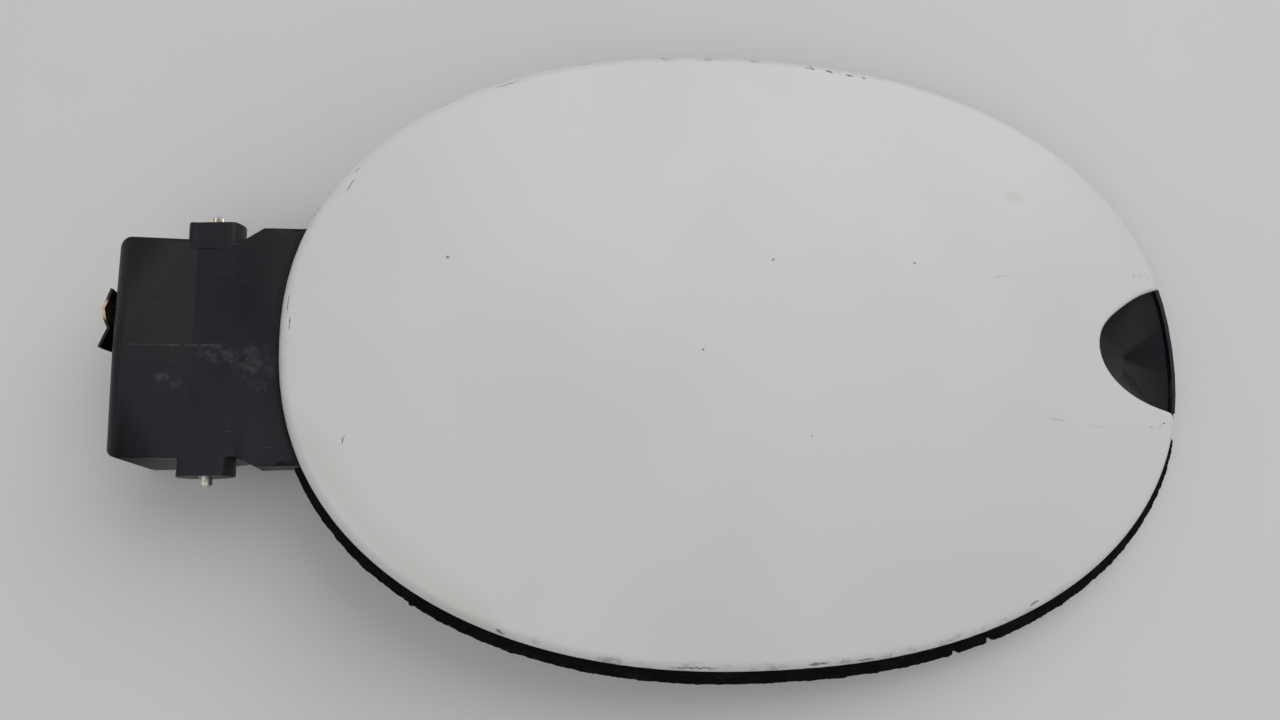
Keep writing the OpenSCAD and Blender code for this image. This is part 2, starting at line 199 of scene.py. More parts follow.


# %% [markdown]
# ## White enamel on the cover
# Body enamel is a coloured coat under a clear one, sprayed and baked. It gives a soft sheen with a faint
# orange-peel ripple. Grey streaks along the rolled edge are grime and also painted shade where the edge
# rolls down, and a brownish band inside the lower left edge is painted shade. There are dark chips where
# the primer shows and a few specks. The edge marks follow the oval, so the share of the way to the rim is
# worked out with maths nodes, and the single marks are placed by their millimetres.

# %% Enamel
def white_enamel():
    material, tree, shader, place = new_finish("white_body_enamel")
    axes = add(tree, "SeparateXYZ", {0: place})
    x, y = axes.outputs[0], axes.outputs[1]
    powers = []
    for axis, half in ((x, HALF_L), (y, HALF_W)):
        reach = maths(tree, "DIVIDE", maths(tree, "ABSOLUTE", axis), half)
        powers.append(maths(tree, "POWER", reach, OVAL_POWER))
    share = maths(tree, "POWER", maths(tree, "ADD", *powers), 1 / OVAL_POWER)
    # Broad, faint shifts of tone, as wiped dust and old polish leave on white paint
    cloud = grain(tree, place, 70, 2.0)
    tone = blend(tree, ramp(tree, cloud, 0.35, 0.65), hex_colour("#C9C9C9"), hex_colour("#CDCDCC"))
    # Grey streaks along the rolled edge: grime, and also painted shade where the edge rolls down away from
    # the light
    streak_place = add(tree, "Mapping", {0: place, "Scale": (1, 1.6, 1)}).outputs[0]
    streaks = ramp(tree, grain(tree, streak_place, 5, 6.0, 0.7), 0.50, 0.66)
    edge = ramp(tree, share, 0.962, 0.992)
    lower_side = product(tree, ramp(tree, y, -52, -70), ramp(tree, x, -75, -45))
    hinge_end = product(tree, ramp(tree, x, -75, -105), 0.16)
    upper_side = mark(tree, place, -5, 76, 110, 14)
    sides = strongest(tree, [lower_side, hinge_end, upper_side])
    edge_grime_and_shade = product(tree, product(tree, streaks, edge), sides)
    tone = blend(tree, product(tree, edge_grime_and_shade, 0.55), tone, hex_colour("#6E6B66"))
    # Painted shade: a brownish band inside the lower left edge; and a real stain near the notch
    lower_left_edge_shade = product(tree, mark(tree, place, -88, -44, 90, 14, -48), ramp(tree, share, 0.9, 0.97))
    stain = mark(tree, place, 70.5, 40.4, 7, 4)
    edge_shade_and_stain = product(tree, strongest(tree, [lower_left_edge_shade, stain]), 0.25)
    tone = blend(tree, edge_shade_and_stain, tone, hex_colour("#B9AC99"))
    # Chips and scratches through to the dark primer: x, y, length, width, turn
    chips = [(-113.0, 9.0, 5.5, 0.35, 84), (-112.6, 4.0, 4.0, 0.3, 88), (-100.1, 37.6, 4.5, 0.3, 60),
             (-98.5, 41.5, 2.2, 0.25, 58), (-50.1, 71.6, 2.4, 0.7, 12), (-43.5, 72.6, 4.0, 0.4, 9),
             (16.3, 75.0, 3.5, 0.5, -6), (21.5, 74.5, 2.2, 0.9, -8), (27.2, 73.7, 3.0, 0.5, -9),
             (31.4, 73.1, 1.6, 0.6, -9), (-65.7, -65.6, 2.6, 0.8, -34), (65.2, -64.5, 3.2, 0.6, 30),
             (-43.5, -73.4, 8.0, 0.5, -12), (-22.0, -75.6, 14.0, 0.5, -3), (8.0, -76.2, 6.0, 0.7, 2),
             (19.9, -75.8, 5.0, 0.6, 4), (-77.2, 60.4, 9.0, 0.25, 30), (-63.0, 65.6, 8.0, 0.25, 22),
             (-100.2, -22.6, 2.4, 0.3, 75), (-77.5, 19.7, 0.9, 0.8, 0), (-18.0, -2.6, 0.8, 0.8, 0),
             (0.8, 20.1, 0.7, 0.6, 0), (38.7, 20.5, 0.8, 0.6, 0), (8.0, -23.3, 0.6, 0.6, 0)]
    # Noise shakes the place by about half a millimetre either way, so that no mark is a plain oval
    shake = add(tree, "TexNoise", {"Vector": place, "Scale": 0.9, "Detail": 2.0}).outputs["Color"]
    centred = add(tree, "VectorMath", {0: shake, 1: (0.5, 0.5, 0.5)}, operation="SUBTRACT")
    jitter = add(tree, "VectorMath", {0: centred.outputs[0], "Scale": 1.1}, operation="SCALE")
    shaken = add(tree, "VectorMath", {0: place, 1: jitter.outputs[0]}, operation="ADD").outputs[0]
    chipped = strongest(tree, [mark(tree, shaken, *chip) for chip in chips])
    tone = blend(tree, product(tree, chipped, 0.72), tone, hex_colour("#3A3836"))
    tree.links.new(tone, shader.inputs["Base Color"])
    worn = product(tree, strongest(tree, [edge_grime_and_shade, chipped]), 0.35)
    dull = maths(tree, "ADD", ramp(tree, grain(tree, place, 25, 4.0), 0.3, 0.7, 0.40, 0.48), worn)
    tree.links.new(dull, shader.inputs["Roughness"])
    shader.inputs["Coat Weight"].default_value = 0.2
    shader.inputs["Coat Roughness"].default_value = 0.2
    # Orange peel has cells of about 3 mm and only microns of height
    peel = add(tree, "Bump", {"Height": grain(tree, place, 3.0, 1.0), "Strength": 0.05, "Distance": 0.0003})
    sunk = add(tree, "Bump", {"Height": maths(tree, "SUBTRACT", 1.0, chipped), "Strength": 0.4,
                              "Distance": 0.0002, "Normal": peel.outputs[0]})
    tree.links.new(sunk.outputs[0], shader.inputs["Normal"])
    return material


ENAMEL = white_enamel()

# %% [markdown]
# ## Black moulded plastic
# The carrier is polypropylene with talc, moulded in one shot against a finely eroded steel tool. That
# gives a satin black with a grain of a fraction of a millimetre. Pale patches on the lower half of the arm's
# top and where it meets the cover are painted highlights, a pale line along the middle ridge is a painted
# highlight, and handling leaves short scratches. The grain is drawn at 0.5 mm, a little coarser than real,
# so that it shows.

# %% Carrier plastic
def moulded_black():
    material, tree, shader, place = new_finish("moulded_black_polypropylene")
    cloud = grain(tree, place, 18, 4.0)
    tone = blend(tree, ramp(tree, cloud, 0.35, 0.7), hex_colour("#0B0B14"), hex_colour("#15151B"))
    fine = grain(tree, place, 0.5, 2.0)
    # Painted highlights: pale patches on the lighter lower half of the arm's top beside the valley,
    # and a glint where the arm meets the cover, broken up by the grain
    spots = ((-128.5, -1.2, 15, 5.5, -8), (-121, -4, 12, 12), (-141, -7.5, 9, 5), (-119.6, -10, 2.5, 7, -30))
    painted_highlights = strongest(tree, [mark(tree, place, *spot) for spot in spots])
    patchy = ramp(tree, grain(tree, place, 2.2, 6.0, 0.75), 0.42, 0.68)
    painted_highlight_patch = product(tree, painted_highlights, patchy)
    tone = blend(tree, product(tree, painted_highlight_patch, 0.34), tone, hex_colour("#5A5A5C"))
    # Painted highlight: a pale line along the crisp middle ridge; and fine hair scratches, which all run one
    # way
    ridge = product(tree, mark(tree, place, -139, 0.95, 24, 0.5),
                    ramp(tree, grain(tree, place, 2.5, 5.0, 0.7), 0.4, 0.6))
    hair_place = add(tree, "Mapping", {0: place, "Rotation": (0, 0, math.radians(-38)),
                                       "Scale": (0.12, 1.6, 1)}).outputs[0]
    hairs = ramp(tree, grain(tree, hair_place, 0.9, 3.0), 0.69, 0.76)
    ridge_highlight_and_scratches = product(tree, strongest(tree, [ridge, product(tree, hairs, 0.6)]), 0.3)
    tone = blend(tree, ridge_highlight_and_scratches, tone, hex_colour("#6A6A6E"))
    tree.links.new(tone, shader.inputs["Base Color"])
    satin = ramp(tree, fine, 0.3, 0.7, 0.42, 0.52)
    tree.links.new(maths(tree, "ADD", satin, product(tree, painted_highlight_patch, 0.2)), shader.inputs["Roughness"])
    shader.inputs["IOR"].default_value = 1.49
    shader.inputs["Specular IOR Level"].default_value = 0.3
    bump = add(tree, "Bump", {"Height": fine, "Strength": 0.35, "Distance": 0.00012})
    tree.links.new(bump.outputs[0], shader.inputs["Normal"])
    return material


PLASTIC = moulded_black()

# %% [markdown]
# ## Foam, rubber and adhesive
# The seal is skinless black EPDM foam: its cut cells make it rough and light-eating. The buffers are
# smooth moulded rubber, and the adhesive is a squeezed grey bead. All three share one recipe, with the
# cell size, depth and colours changed.

# %% Soft black finishes
def soft_finish(name, dark, pale, cell, depth, roughness, shine=0.5):
    material, tree, shader, place = new_finish(name)
    cells = add(tree, "TexVoronoi", {"Vector": place, "Scale": 1 / cell}).outputs["Distance"]
    dust = ramp(tree, grain(tree, place, cell * 6, 5.0, 0.7), 0.45, 0.75)
    dusted = product(tree, dust, ramp(tree, cells, 0.2, 0.7))
    tone = blend(tree, dusted, hex_colour(dark), hex_colour(pale))
    tree.links.new(tone, shader.inputs["Base Color"])
    shader.inputs["Roughness"].default_value = roughness
    shader.inputs["Specular IOR Level"].default_value = shine
    bump = add(tree, "Bump", {"Height": cells, "Strength": 0.8, "Distance": depth})
    tree.links.new(bump.outputs[0], shader.inputs["Normal"])
    return material


FOAM = soft_finish("open_cell_epdm_foam", "#050506", "#1D1B19", 0.8, 0.0005, 0.95, 0.1)
RUBBER = soft_finish("moulded_epdm_rubber", "#141415", "#232324", 0.6, 0.00004, 0.6)
ADHESIVE = soft_finish("polyurethane_adhesive", "#3A3A3B", "#55534F", 2.0, 0.0001, 0.55)

# %% [markdown]
# ## Bare metals
# The rod is bright drawn steel, the rivets are zinc-plated and the leaf spring is blued spring steel gone
# dark and stained, with a painted highlight on its dented bulge. Each is a metallic shader whose colour and
# roughness wander a little, with the drawing lines of the rod running round it.

# %% Metals
def bare_metal(name, bright, stained, roughness, stretch=(1, 1, 1), patch=4.0, painted_highlight_patch=None):
    material, tree, shader, place = new_finish(name)
    lines = add(tree, "Mapping", {0: place, "Scale": stretch}).outputs[0]
    stain = ramp(tree, grain(tree, place, patch, 5.0, 0.65), 0.42, 0.66)
    if painted_highlight_patch:                             # painted highlight: bright only on that patch, stained elsewhere
        clean = maths(tree, "SUBTRACT", 1.0, product(tree, stain, 0.6))
        stain = maths(tree, "SUBTRACT", 1.0, product(tree, mark(tree, place, *painted_highlight_patch), clean))
    tone = blend(tree, stain, hex_colour(bright), hex_colour(stained))
    tree.links.new(tone, shader.inputs["Base Color"])
    drawn = grain(tree, lines, 0.5, 3.0)
    satin = ramp(tree, drawn, 0.3, 0.7, roughness, roughness + 0.12)
    tree.links.new(maths(tree, "ADD", satin, product(tree, stain, 0.18)), shader.inputs["Roughness"])
    shader.inputs["Metallic"].default_value = 1.0
    bump = add(tree, "Bump", {"Height": drawn, "Strength": 0.25, "Distance": 0.00005})
    tree.links.new(bump.outputs[0], shader.inputs["Normal"])
    return material


ROD_STEEL = bare_metal("bright_drawn_steel", "#D6D3CB", "#9A9184", 0.2, (0.4, 6, 0.4), 3.0)
RIVET_STEEL = bare_metal("zinc_plated_steel", "#B9B9B4", "#8C887F", 0.35)
# The spring's bright patch round x -155, y 10 is a painted highlight on its dented bulge
SPRING_STEEL = bare_metal("tempered_spring_steel", "#D9BFA2", "#3A332D", 0.3, (1, 0.3, 1), 2.0,
                          (-155.0, 10.0, 9.0, 5.5))

# %% [markdown]
# ## The painted cover
# The real cover is one thin moulding: a domed oval whose edge rolls down, with an oval bite for the
# finger. A grid cut by a boolean would leave slivers that show in a glossy face. So the outline is laid
# out first as one many-sided face, with the bite already in it, and that face is inset again and again,
# each new loop set on the dome by its height formula. Where the bite meets the rim, the inset directions
# turn slowly round the corner, so that no loops cross.

# %% Outline of the cover, with the bite in it
def oval_point(turn, inset=0.0):
    c, s = math.cos(turn), math.sin(turn)
    return Vector((math.copysign((HALF_L - inset) * abs(c) ** (2 / OVAL_POWER), c),
                   math.copysign((HALF_W - inset) * abs(s) ** (2 / OVAL_POWER), s)))


def oval_share(point):
    """Share of the way from the middle to the rim, 1 on the rim itself."""
    along, across = abs(point.x / HALF_L), abs(point.y / HALF_W)
    return (along ** OVAL_POWER + across ** OVAL_POWER) ** (1 / OVAL_POWER)


def bite_point(turn):
    """Point of the finger notch; its upper side is a little fuller than a plain oval."""
    x, y, half_l, half_w = NOTCH
    point = Vector((x + half_l * math.cos(turn), y + half_w * math.sin(turn)))
    point.x += 1.6 * math.exp(-((point.y - 12.0) / 4.5) ** 2)
    return point


def even_points(points, count):
    """The same polyline with that many evenly spaced points, both ends kept."""
    reach = [0.0]
    for one, two in zip(points, points[1:]):
        reach.append(reach[-1] + (two - one).length)
    spaced, k = [], 0
    for i in range(count):
        want = reach[-1] * i / (count - 1)
        while k < len(points) - 2 and reach[k + 1] < want:
            k += 1
        share = (want - reach[k]) / max(reach[k + 1] - reach[k], 1e-9)
        spaced.append(points[k].lerp(points[k + 1], share))
    return spaced


DENSE = 4000                                              # points of the first, fine lines
RIM_POINTS, BITE_POINTS = 341, 61                         # points kept of each, both ends counted
LOWER_TIP = RIM_POINTS - 1                                # index where the rim meets the bite
bite = [bite_point(math.pi * (0.5 + i / DENSE)) for i in range(DENSE + 1)]
bite = [p for p in bite if oval_share(p) < 1.0]          # from the upper tip round to the lower tip
rim = [oval_point(2 * math.pi * i / DENSE) for i in range(DENSE)]
upper = min(range(DENSE // 4), key=lambda i: (rim[i] - bite[0]).length)
lower = min(range(DENSE * 3 // 4, DENSE), key=lambda i: (rim[i] - bite[-1]).length)
rim_line = even_points(rim[upper:lower + 1], RIM_POINTS)
bite_line = even_points(list(reversed(bite)), BITE_POINTS)
OUTLINE = rim_line[:-1] + bite_line[:-1]
COUNT = len(OUTLINE)
for _ in range(14):                                       # the lower tip is rounded, the upper one sharp
    fair = {}
    for i in range(LOWER_TIP - 4, LOWER_TIP + 6):
        fair[i] = (OUTLINE[i - 1] + OUTLINE[i] * 2 + OUTLINE[(i + 1) % COUNT]) / 4
    for i, point in fair.items():
        OUTLINE[i] = point
print("outline of", COUNT, "points")

# %% Inset directions and the height of the face
inward = []
for i in range(COUNT):
    along = (OUTLINE[(i + 1) % COUNT] - OUTLINE[i - 1]).normalized()
    inward.append(Vector((-along.y, along.x)))
for _ in range(10):                                       # turns the directions slowly round both tips
    inward = [(inward[i - 1] + inward[i] * 2 + inward[(i + 1) % COUNT]).normalized()
              for i in range(COUNT)]


def measured(points):
    """A search tree that tells how far any place is from a line of points."""
    tree = kdtree.KDTree(len(points))
    for i, p in enumerate(points):
        tree.insert((p.x, p.y, 0), i)
    tree.balance()
    return tree


rim_tree = measured(even_points(rim[upper:lower + 1], 6000))
bite_tree = measured(even_points(bite, 1500))


def rolled(depth, radius):
    """How far a rolled edge has dropped at a depth in from its outline."""
    if depth >= radius:
        return 0.0
    return radius - math.sqrt(max(radius ** 2 - (radius - depth) ** 2, 0.0))


def face_height(point):
    """Height of the painted face: a dome, less what its rim and the bite's lip have rolled down."""
    spot = (point.x, point.y, 0)
    drop = rolled(rim_tree.find(spot)[2], EDGE_ROLL) + rolled(bite_tree.find(spot)[2], LIP_ROLL)
    return max(CROWN * (1 - min(oval_share(point), 1.0) ** 2) - drop, LIP_Z + EDGE_DEPTH)


# %% Model the cover by insetting its outline
EDGE_INSETS = (0.08, 0.25, 0.55, 0.95, 1.45, 2.0, 2.6, 3.6, 5.5, 8.5)   # mm in from the outline
UNDER_INSETS = (1.6, 2.4, 3.4, 5.5, 8.5)
SHRINKS = (0.94, 0.87, 0.79, 0.70, 0.60, 0.49, 0.37, 0.25, 0.13, 0.04)   # shares of the last inset
HALF_BITE = 30.5                                 # points from the notch's middle to its upper tip


def inset_loop(mesh, ring, place):
    """Insets the selected face and puts each point of the new loop where place says.
    ring holds the present loop in the outline's order, and the new one is returned in that order."""
    bpy.ops.mesh.inset(thickness=0.01, depth=0)
    loop = [corner.vert for corner in next(f for f in mesh.faces if f.select).loops]
    first = min(range(COUNT), key=lambda i: (ring[i] - loop[0].co).length)
    ahead, behind = ring[(first + 1) % COUNT], ring[first - 1]
    step = 1 if (ahead - loop[1].co).length < (behind - loop[1].co).length else -1
    fresh = [None] * COUNT
    for k, vert in enumerate(loop):
        i = (first + step * k) % COUNT
        vert.co = fresh[i] = place(i)
    return fresh


def loops_to_middle(mesh, ring, insets, height):
    """Narrow insets along the edge, then wider ones that shrink evenly to the middle."""
    def inset_point(i, depth):
        return OUTLINE[i] + inward[i] * depth
    for depth in insets:
        def near_edge(i, depth=depth):
            p = inset_point(i, depth)
            return Vector((p.x, p.y, height(p)))
        ring = inset_loop(mesh, ring, near_edge)
    last = insets[-1]
    for share in SHRINKS:
        def to_middle(i, share=share):
            # The notched loop relaxes to a plain small oval as it shrinks
            turn = 2 * math.pi * (i + HALF_BITE) / COUNT
            calm = oval_point(turn) * (0.72 * share)
            notched = inset_point(i, last) * share
            ease = min(1.0, (1 - share) * 2.0)
            p = notched.lerp(calm, ease)
            return Vector((p.x, p.y, height(p)))
        ring = inset_loop(mesh, ring, to_middle)
    bpy.ops.mesh.merge(type="CENTER")


def painted_cover():
    clear_selection()
    bpy.ops.mesh.primitive_circle_add(vertices=COUNT, radius=HALF_L, fill_type="NGON")
    piece = bpy.context.object
    mesh = edit_mesh(piece)
    around = sorted(mesh.verts, key=lambda v: math.atan2(v.co.y, v.co.x) % (2 * math.pi))
    for vert, point in zip(around, OUTLINE):
        vert.co = (point.x, point.y, LIP_Z)
    lip = [Vector((point.x, point.y, LIP_Z)) for point in OUTLINE]
    brow = [Vector((point.x, point.y, face_height(point))) for point in OUTLINE]
    bpy.ops.mesh.select_all(action="SELECT")
    bpy.ops.mesh.extrude_region_move(TRANSFORM_OT_translate={"value": (0, 0, 1.0)})
    for vert in next(f for f in mesh.faces if f.select).verts:
        vert.co.z = face_height(vert.co.xy)
    loops_to_middle(mesh, brow, EDGE_INSETS, face_height)
    # Extruding a lone face leaves a copy behind, which is the start of the underside
    bpy.ops.mesh.select_all(action="DESELECT")
    next(f for f in mesh.faces if len(f.verts) == COUNT).select_set(True)

    def under_height(p):
        return max(face_height(p) - COVER_T, LIP_Z)
    loops_to_middle(mesh, lip, UNDER_INSETS, under_height)
    bpy.ops.object.mode_set(mode="OBJECT")
    settle(piece, "painted_cover", "door", ["outer_panel"], ENAMEL, 60)


painted_cover()

# %% [markdown]
# ## The foam seal
# A soft strip is glued round the carrier's rim. Its shape is simple but its surface is not: the cells are
# cut open and the lower edge is ragged. A merged copy of the solid is remeshed to an even 0.7 mm net,
# which rounds the corners, and then each point moves along its normal by two sizes of noise. Two short
# V cuts and a torn nib are pressed in where the real strip has them.

# %% Rough foam strip
NET = 0.7                                        # mm between the points of the remeshed strip
# x, y, half width and depth in mm of two cuts and of a nib, whose depth is negative: it stands out
CUTS = ((47.0, -76.8, 1.0, 1.6), (56.8, -74.6, 1.1, 1.9), (-86.0, -60.2, 0.8, -0.7))


def merged_copy(node_name, threshold=0.001):
    """A copy of a solid in the door's own frame, with its loose triangles joined."""
    clear_selection()
    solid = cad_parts[node_name]
    piece = solid.copy()
    piece.data = solid.data.copy()
    bpy.context.collection.objects.link(piece)
    piece.parent = None
    piece.matrix_world = LAY.inverted() @ solid.matrix_world
    take(piece)
    bpy.ops.object.transform_apply(location=True, rotation=True, scale=True)
    bpy.ops.object.mode_set(mode="EDIT")
    bpy.ops.mesh.select_all(action="SELECT")
    bpy.ops.mesh.remove_doubles(threshold=threshold)
    bpy.ops.object.mode_set(mode="OBJECT")
    return piece


def foam_seal():
    piece = merged_copy("edge_seal")
    remesh = piece.modifiers.new("net", "REMESH")
    remesh.mode = "VOXEL"
    remesh.voxel_size = NET
    apply_modifiers(piece)
    mesh = piece.data
    moves = []
    for vert in mesh.vertices:
        p = vert.co
        rough = noise.noise(p * 0.9) * 0.34 + noise.noise(p * 0.28) * 0.30
        outside = min(max((oval_share(p.xy) - 0.99) / 0.02, 0.0), 1.0)
        ragged = 1.0 if p.z < -8.2 else 0.55
        move = vert.normal * rough * ragged * outside
        # The strip is tucked in along the upper side and round the notch end
        upper_side = (p.y - 10.0) / 40.0
        notch_end = (p.x - 96.0) / 12.0 if p.y > -24 else 0.0
        tuck = min(max(upper_side, notch_end, 0.0), 1.0) * outside * 0.9
        move -= Vector((p.x * HALF_W / HALF_L, p.y * HALF_L / HALF_W, 0)).normalized() * tuck
        if p.z > -4.5:
            move.z = min(move.z, 0.0)
        for x, y, half, depth in CUTS:
            along = Vector((-y / HALF_W ** 2, x / HALF_L ** 2)).normalized()
            away = abs((p.xy - Vector((x, y))).dot(along))
            near = (p.xy - Vector((x, y))).length
            if away < half and near < 4.5:
                centre = -p.xy.normalized()
                push = depth * (1 - away / half)
                move += Vector((centre.x * push, centre.y * push, 0.35 * push))
        moves.append(move)
    for vert, move in zip(mesh.vertices, moves):
        vert.co += move
    settle(piece, "foam_seal", "door", ["edge_seal"], FOAM, 180)


foam_seal()

# %% [markdown]
# ## The hinge rod
# The rod is a length of drawn steel turned down at both ends. One end is polished with a chamfer, and the
# other is serrated so that it bites in its seat. It starts as a cylinder along the rod's line; each end
# face is inset and extruded, and on the serrated end every second line of points is pulled in.

# %% Rod with a polished and a serrated end
ROD_R, POLISHED_R, SERRATED_R = 1.7, 1.5, 1.3
BOSS_SPAN, FREE_END = 30.0, 2.4                  # mm from the arm's middle to a boss's end, and past it
TEETH, ROOT_SHARE = 18, 0.84                     # serrations, and how near the axis their roots lie
ROD_AXIS = (ROD_X, ARM_Y, ROD_Z)


def select_end(mesh, sign):
    """Selects the one end face of the rod on the side that sign gives."""
    bpy.ops.mesh.select_all(action="DESELECT")
    ends = [f for f in mesh.faces if f.normal.y * sign > 0.99]
    max(ends, key=lambda f: f.calc_center_median().y * sign).select = True


def push_end(distance):
    """Extrudes the selected end face along the rod."""
    bpy.ops.mesh.extrude_region_move(TRANSFORM_OT_translate={"value": (0, distance, 0)})


def hinge_rod():
    clear_selection()
    bpy.ops.mesh.primitive_cylinder_add(vertices=2 * TEETH, radius=ROD_R, depth=2 * BOSS_SPAN,
                                        location=ROD_AXIS, rotation=(math.radians(90), 0, 0))
    piece = bpy.context.object
    bpy.ops.object.transform_apply(location=True, rotation=True, scale=True)
    mesh = edit_mesh(piece)
    for sign, radius, chamfer in ((-1, POLISHED_R, 0.45), (1, SERRATED_R, 0.3)):
        select_end(mesh, sign)
        bpy.ops.mesh.inset(thickness=ROD_R - radius, depth=0)
        push_end(sign * (FREE_END - chamfer))
        push_end(sign * chamfer)
        share = (radius - chamfer) / radius
        bpy.ops.transform.resize(value=(share, 1, share), center_override=ROD_AXIS)
        bpy.ops.mesh.inset(thickness=0.5, depth=-0.12)
    # Serrations: every second line of points on the upper end is pulled towards the axis
    for vert in mesh.verts:
        out = Vector((vert.co.x - ROD_X, vert.co.z - ROD_Z))
        turn = round(math.atan2(out.y, out.x) / (math.pi / TEETH))
        on_end = vert.co.y > ARM_Y + BOSS_SPAN - 0.01 and 0.85 < out.length < ROD_R - 0.1
        if on_end and turn % 2:
            vert.co.x = ROD_X + out.x * ROOT_SHARE
            vert.co.z = ROD_Z + out.y * ROOT_SHARE
    bmesh.update_edit_mesh(piece.data)
    bpy.ops.object.mode_set(mode="OBJECT")
    settle(piece, "turned_hinge_rod", "rod", ["hinge_rod"], ROD_STEEL, 25)


hinge_rod()

# %% [markdown]
# ## The leaf spring
# A strip of spring steel is riveted to the tail. It bows away from the plastic and its free end is dented
# and bent. A short edge is extruded along the strip's path, the free end is pushed into shape point by
# point, and Solidify gives the sheet its thickness.

# %% Bowed spring strip
SPRING_T, SPRING_W, SPRING_Y, BOW = 0.6, 14.0, 7.0, 2.2
BOW_FOOT, BOW_RISE = TAIL_Z + 13, 14.0           # height where the bow starts, and how far it rises
DENTED = 9.0                                     # mm of the free end that are out of shape


def leaf_spring():
    clear_selection()
    start = TAIL_X - 0.05
    bpy.ops.mesh.primitive_plane_add(size=1, location=(start, ARM_Y + SPRING_Y, TAIL_Z + 6),
                                     rotation=(0, math.radians(90), 0))
    piece = bpy.context.object
    bpy.ops.object.transform_apply(location=True, rotation=True, scale=True)
    mesh = edit_mesh(piece)
    for vert in mesh.verts:
        side = 1 if vert.co.y > ARM_Y + SPRING_Y else -1
        vert.co = (start, ARM_Y + SPRING_Y + side * SPRING_W / 2,
                   TAIL_Z + 4 if vert.co.z < TAIL_Z + 6 else BOW_FOOT)
    top = max((e for e in mesh.edges), key=lambda e: min(v.co.z for v in e.verts))
    top.select = True
    for vert in top.verts:
        vert.select = True
    bmesh.update_edit_mesh(piece.data)
    height = BOW_FOOT
    stand = 0.0                                  # how far the strip stands off the tail
    for turn in range(12, 181, 12):
        goal = BOW * (1 - math.cos(math.radians(turn))) / 2
        rise = BOW_FOOT + BOW_RISE * turn / 180
        bpy.ops.mesh.extrude_region_move(TRANSFORM_OT_translate={"value": (stand - goal, 0, rise - height)})
        stand, height = goal, rise
    bpy.ops.mesh.select_all(action="SELECT")
    bpy.ops.mesh.subdivide(number_cuts=5)
    for vert in mesh.verts:
        # Its free end is dented: a rolled bulge, a hollow beside it and both corners bent
        over = max(0.0, vert.co.z - (height - DENTED)) / DENTED
        along = vert.co.y - ARM_Y - SPRING_Y
        bulge = 0.5 * math.exp(-((along - 2.2) / 2.0) ** 2)
        hollow = 0.9 * math.exp(-((along + 2.6) / 1.6) ** 2)
        upper_corner = 1.1 * max(0.0, (along - 3.0) / 4.0)
        lower_corner = 0.9 * max(0.0, (-along - 4.0) / 3.0)
        vert.co.x -= (bulge - hollow - upper_corner + lower_corner) * over
    bmesh.update_edit_mesh(piece.data)
    bpy.ops.object.mode_set(mode="OBJECT")
    solidify = piece.modifiers.new("thickness", "SOLIDIFY")
    solidify.thickness = SPRING_T
    solidify.offset = -1
    apply_modifiers(piece)
    high = max(v.co.x for v in piece.data.vertices)
    if high > start + 0.01:                       # the thickness has to lie on the outer side
        for vert in piece.data.vertices:
            vert.co.x -= high - start
    settle(piece, "bowed_leaf_spring", "door", ["leaf_spring"], SPRING_STEEL, 30)


leaf_spring()

# %% [markdown]
# ## The carrier and its arm
# The carrier, scoop and arm are one black moulding, and the solid already has its form. Two things differ
# on the real one. The step up to the cover follows the oval instead of running straight, so a ring-shaped
# cutter takes the rest away with a boolean. The rod's bosses are flattened to the arm's top. Both are
# done on a merged copy, which keeps the solid's size.

# %% Carrier with a curved step and flat-topped bosses
ROOF = math.tan(math.radians(2.6))               # fall of the arm's top, both ways from its middle ridge
NECK_X, SHOULDER_X, VALLEY_X = ROD_X + 12, ROD_X + 5, ROD_X - 3.6
NECK_Z, SHOULDER_Z, VALLEY_Z = -7.0, -8.3, -9.6  # heights of the middle line where its slope changes
BOSS_IN, BOSS_MIDDLE, BOSS_OUT, BOSS_HALF = 23.4, 25.8, 30.5, 6.6   # mm from the arm's middle, half width
ABOVE_ARM, FLATTEN = 0.12, 0.06                  # mm that a boss keeps, and the share left above that
# Section of the cutter: mm out from the oval, and height
SECTION = ((-0.35, -3.0), (-0.35, -4.2), (0.05, -5.2), (0.7, -6.1), (1.6, -6.7), (2.9, -6.93),
           (12.5, -6.93), (12.5, -3.0))


def arm_top(x):
    """Height of the arm's middle line beside the rod, in three straight runs."""
    if x > SHOULDER_X:
        return NECK_Z - 1.3 * min(1.0, (NECK_X - x) / 7)
    if x > VALLEY_X:
        return SHOULDER_Z - 1.3 * (SHOULDER_X - x) / 8.6
    return VALLEY_Z + (VALLEY_X - x) / 14.2


def step_cutter():
    """A ring outside the oval, rounded at its foot, that clears the arm's top beside the cover."""
    clear_selection()
    turns = [math.pi * (0.76 + 0.48 * i / 48) for i in range(49)]
    bpy.ops.mesh.primitive_plane_add(size=1)
    cutter = bpy.context.object
    mesh = edit_mesh(cutter)
    bpy.ops.mesh.select_all(action="SELECT")
    bpy.ops.mesh.delete(type="VERT")
    rows = []
    for turn in turns:
        row = []
        for out, z in SECTION:
            spot = oval_point(turn, -out)
            drop = abs(spot.y - ARM_Y) * ROOF if z < -6 else 0.0
            row.append(mesh.verts.new((spot.x, spot.y, z - drop)))
        rows.append(row)
    for one, two in zip(rows, rows[1:]):
        for k in range(len(SECTION)):
            m = (k + 1) % len(SECTION)
            mesh.faces.new((one[k], one[m], two[m], two[k]))
    mesh.faces.new(rows[0])
    mesh.faces.new(list(reversed(rows[-1])))
    bmesh.update_edit_mesh(cutter.data)
    bpy.ops.mesh.select_all(action="SELECT")
    bpy.ops.mesh.normals_make_consistent(inside=False)
    bpy.ops.object.mode_set(mode="OBJECT")
    return cutter


